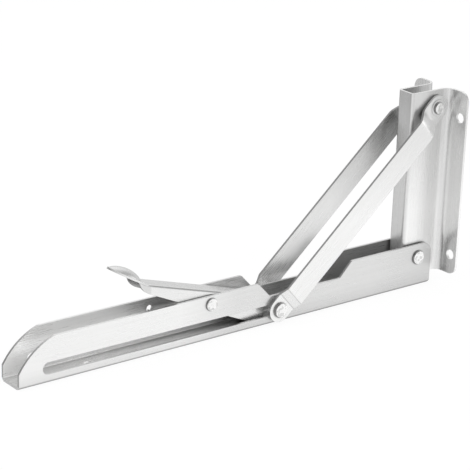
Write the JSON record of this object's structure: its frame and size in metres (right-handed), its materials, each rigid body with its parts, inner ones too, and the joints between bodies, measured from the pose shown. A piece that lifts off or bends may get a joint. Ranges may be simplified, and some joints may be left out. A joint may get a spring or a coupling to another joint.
{
  "type": "drop leaf table bracket",
  "caption": "Folding steel leaf bracket: slotted channel arm, hat-section wall plate, joggled side straps and a long release lever.",
  "frame": {"origin": "centre of the four wall screw holes, on the face that lies against the wall", "axes": "+X into the wall, the arm's free end at -X, Y across the arm, +Z from the arm's leaf face towards the far end of the wall plate"},
  "size_m": [0.412, 0.063, 0.167],
  "materials": {
    "plate_steel": "brushed stainless",
    "arm_steel": "brushed stainless",
    "strap_steel": "brushed stainless",
    "lever_steel": "brushed stainless",
    "spring_steel": "brushed stainless",
    "washer_steel": "brushed stainless",
    "rivet_steel": "brushed stainless"
  },
  "bodies": {
    "wall": {"wall_plate": "plate_steel", "arm_pin": "rivet_steel", "pivot_washer_near": "washer_steel", "pivot_washer_far": "washer_steel", "strap_rivet_near": "rivet_steel", "strap_rivet_far": "rivet_steel", "strap_washer_near": "washer_steel", "strap_washer_far": "washer_steel", "strap_spacer_near": "washer_steel", "strap_spacer_far": "washer_steel"},
    "arm": {"arm": "arm_steel", "lever_pin": "rivet_steel", "lever_spacer_near": "washer_steel", "lever_spacer_far": "washer_steel"},
    "straps": {"strap_near": "strap_steel", "strap_far": "strap_steel", "slide_rivet_near": "rivet_steel", "slide_rivet_far": "rivet_steel"},
    "slide": {"slide_stud_near": "rivet_steel", "slide_stud_far": "rivet_steel", "slide_washer_near": "washer_steel", "slide_washer_far": "washer_steel"},
    "lever": {"release_lever": "lever_steel", "lever_spring": "spring_steel"}
  },
  "joints": [
    {"name": "arm_fold", "type": "hinge", "parent": "wall", "child": "arm", "pos_m": [-0.0263, 0, -0.0605], "axis": [0, 1, 0], "range_deg": [0, 90]},
    {"name": "strap_turn", "type": "hinge", "parent": "wall", "child": "straps", "pos_m": [-0.0154, 0, 0.0668], "axis": [0, 1, 0], "range_deg": [0, 125]},
    {"name": "slide_travel", "type": "slide", "parent": "arm", "child": "slide", "axis": [-1, 0, 0], "range_m": [0, 0.1901]},
    {"name": "lever_press", "type": "hinge", "parent": "arm", "child": "lever", "pos_m": [-0.24, 0, -0.056], "axis": [0, 1, 0], "range_deg": [-18, 0], "stiffness_Nm_per_rad": 1.5, "springref_deg": 17.19, "deforming": ["lever_spring"]}
  ],
  "couplings": [
    {"joint": "strap_turn", "follows": "arm_fold", "ratio": 1.388},
    {"joint": "slide_travel", "follows": "arm_fold", "m_per_rad": 0.12098}
  ]
}
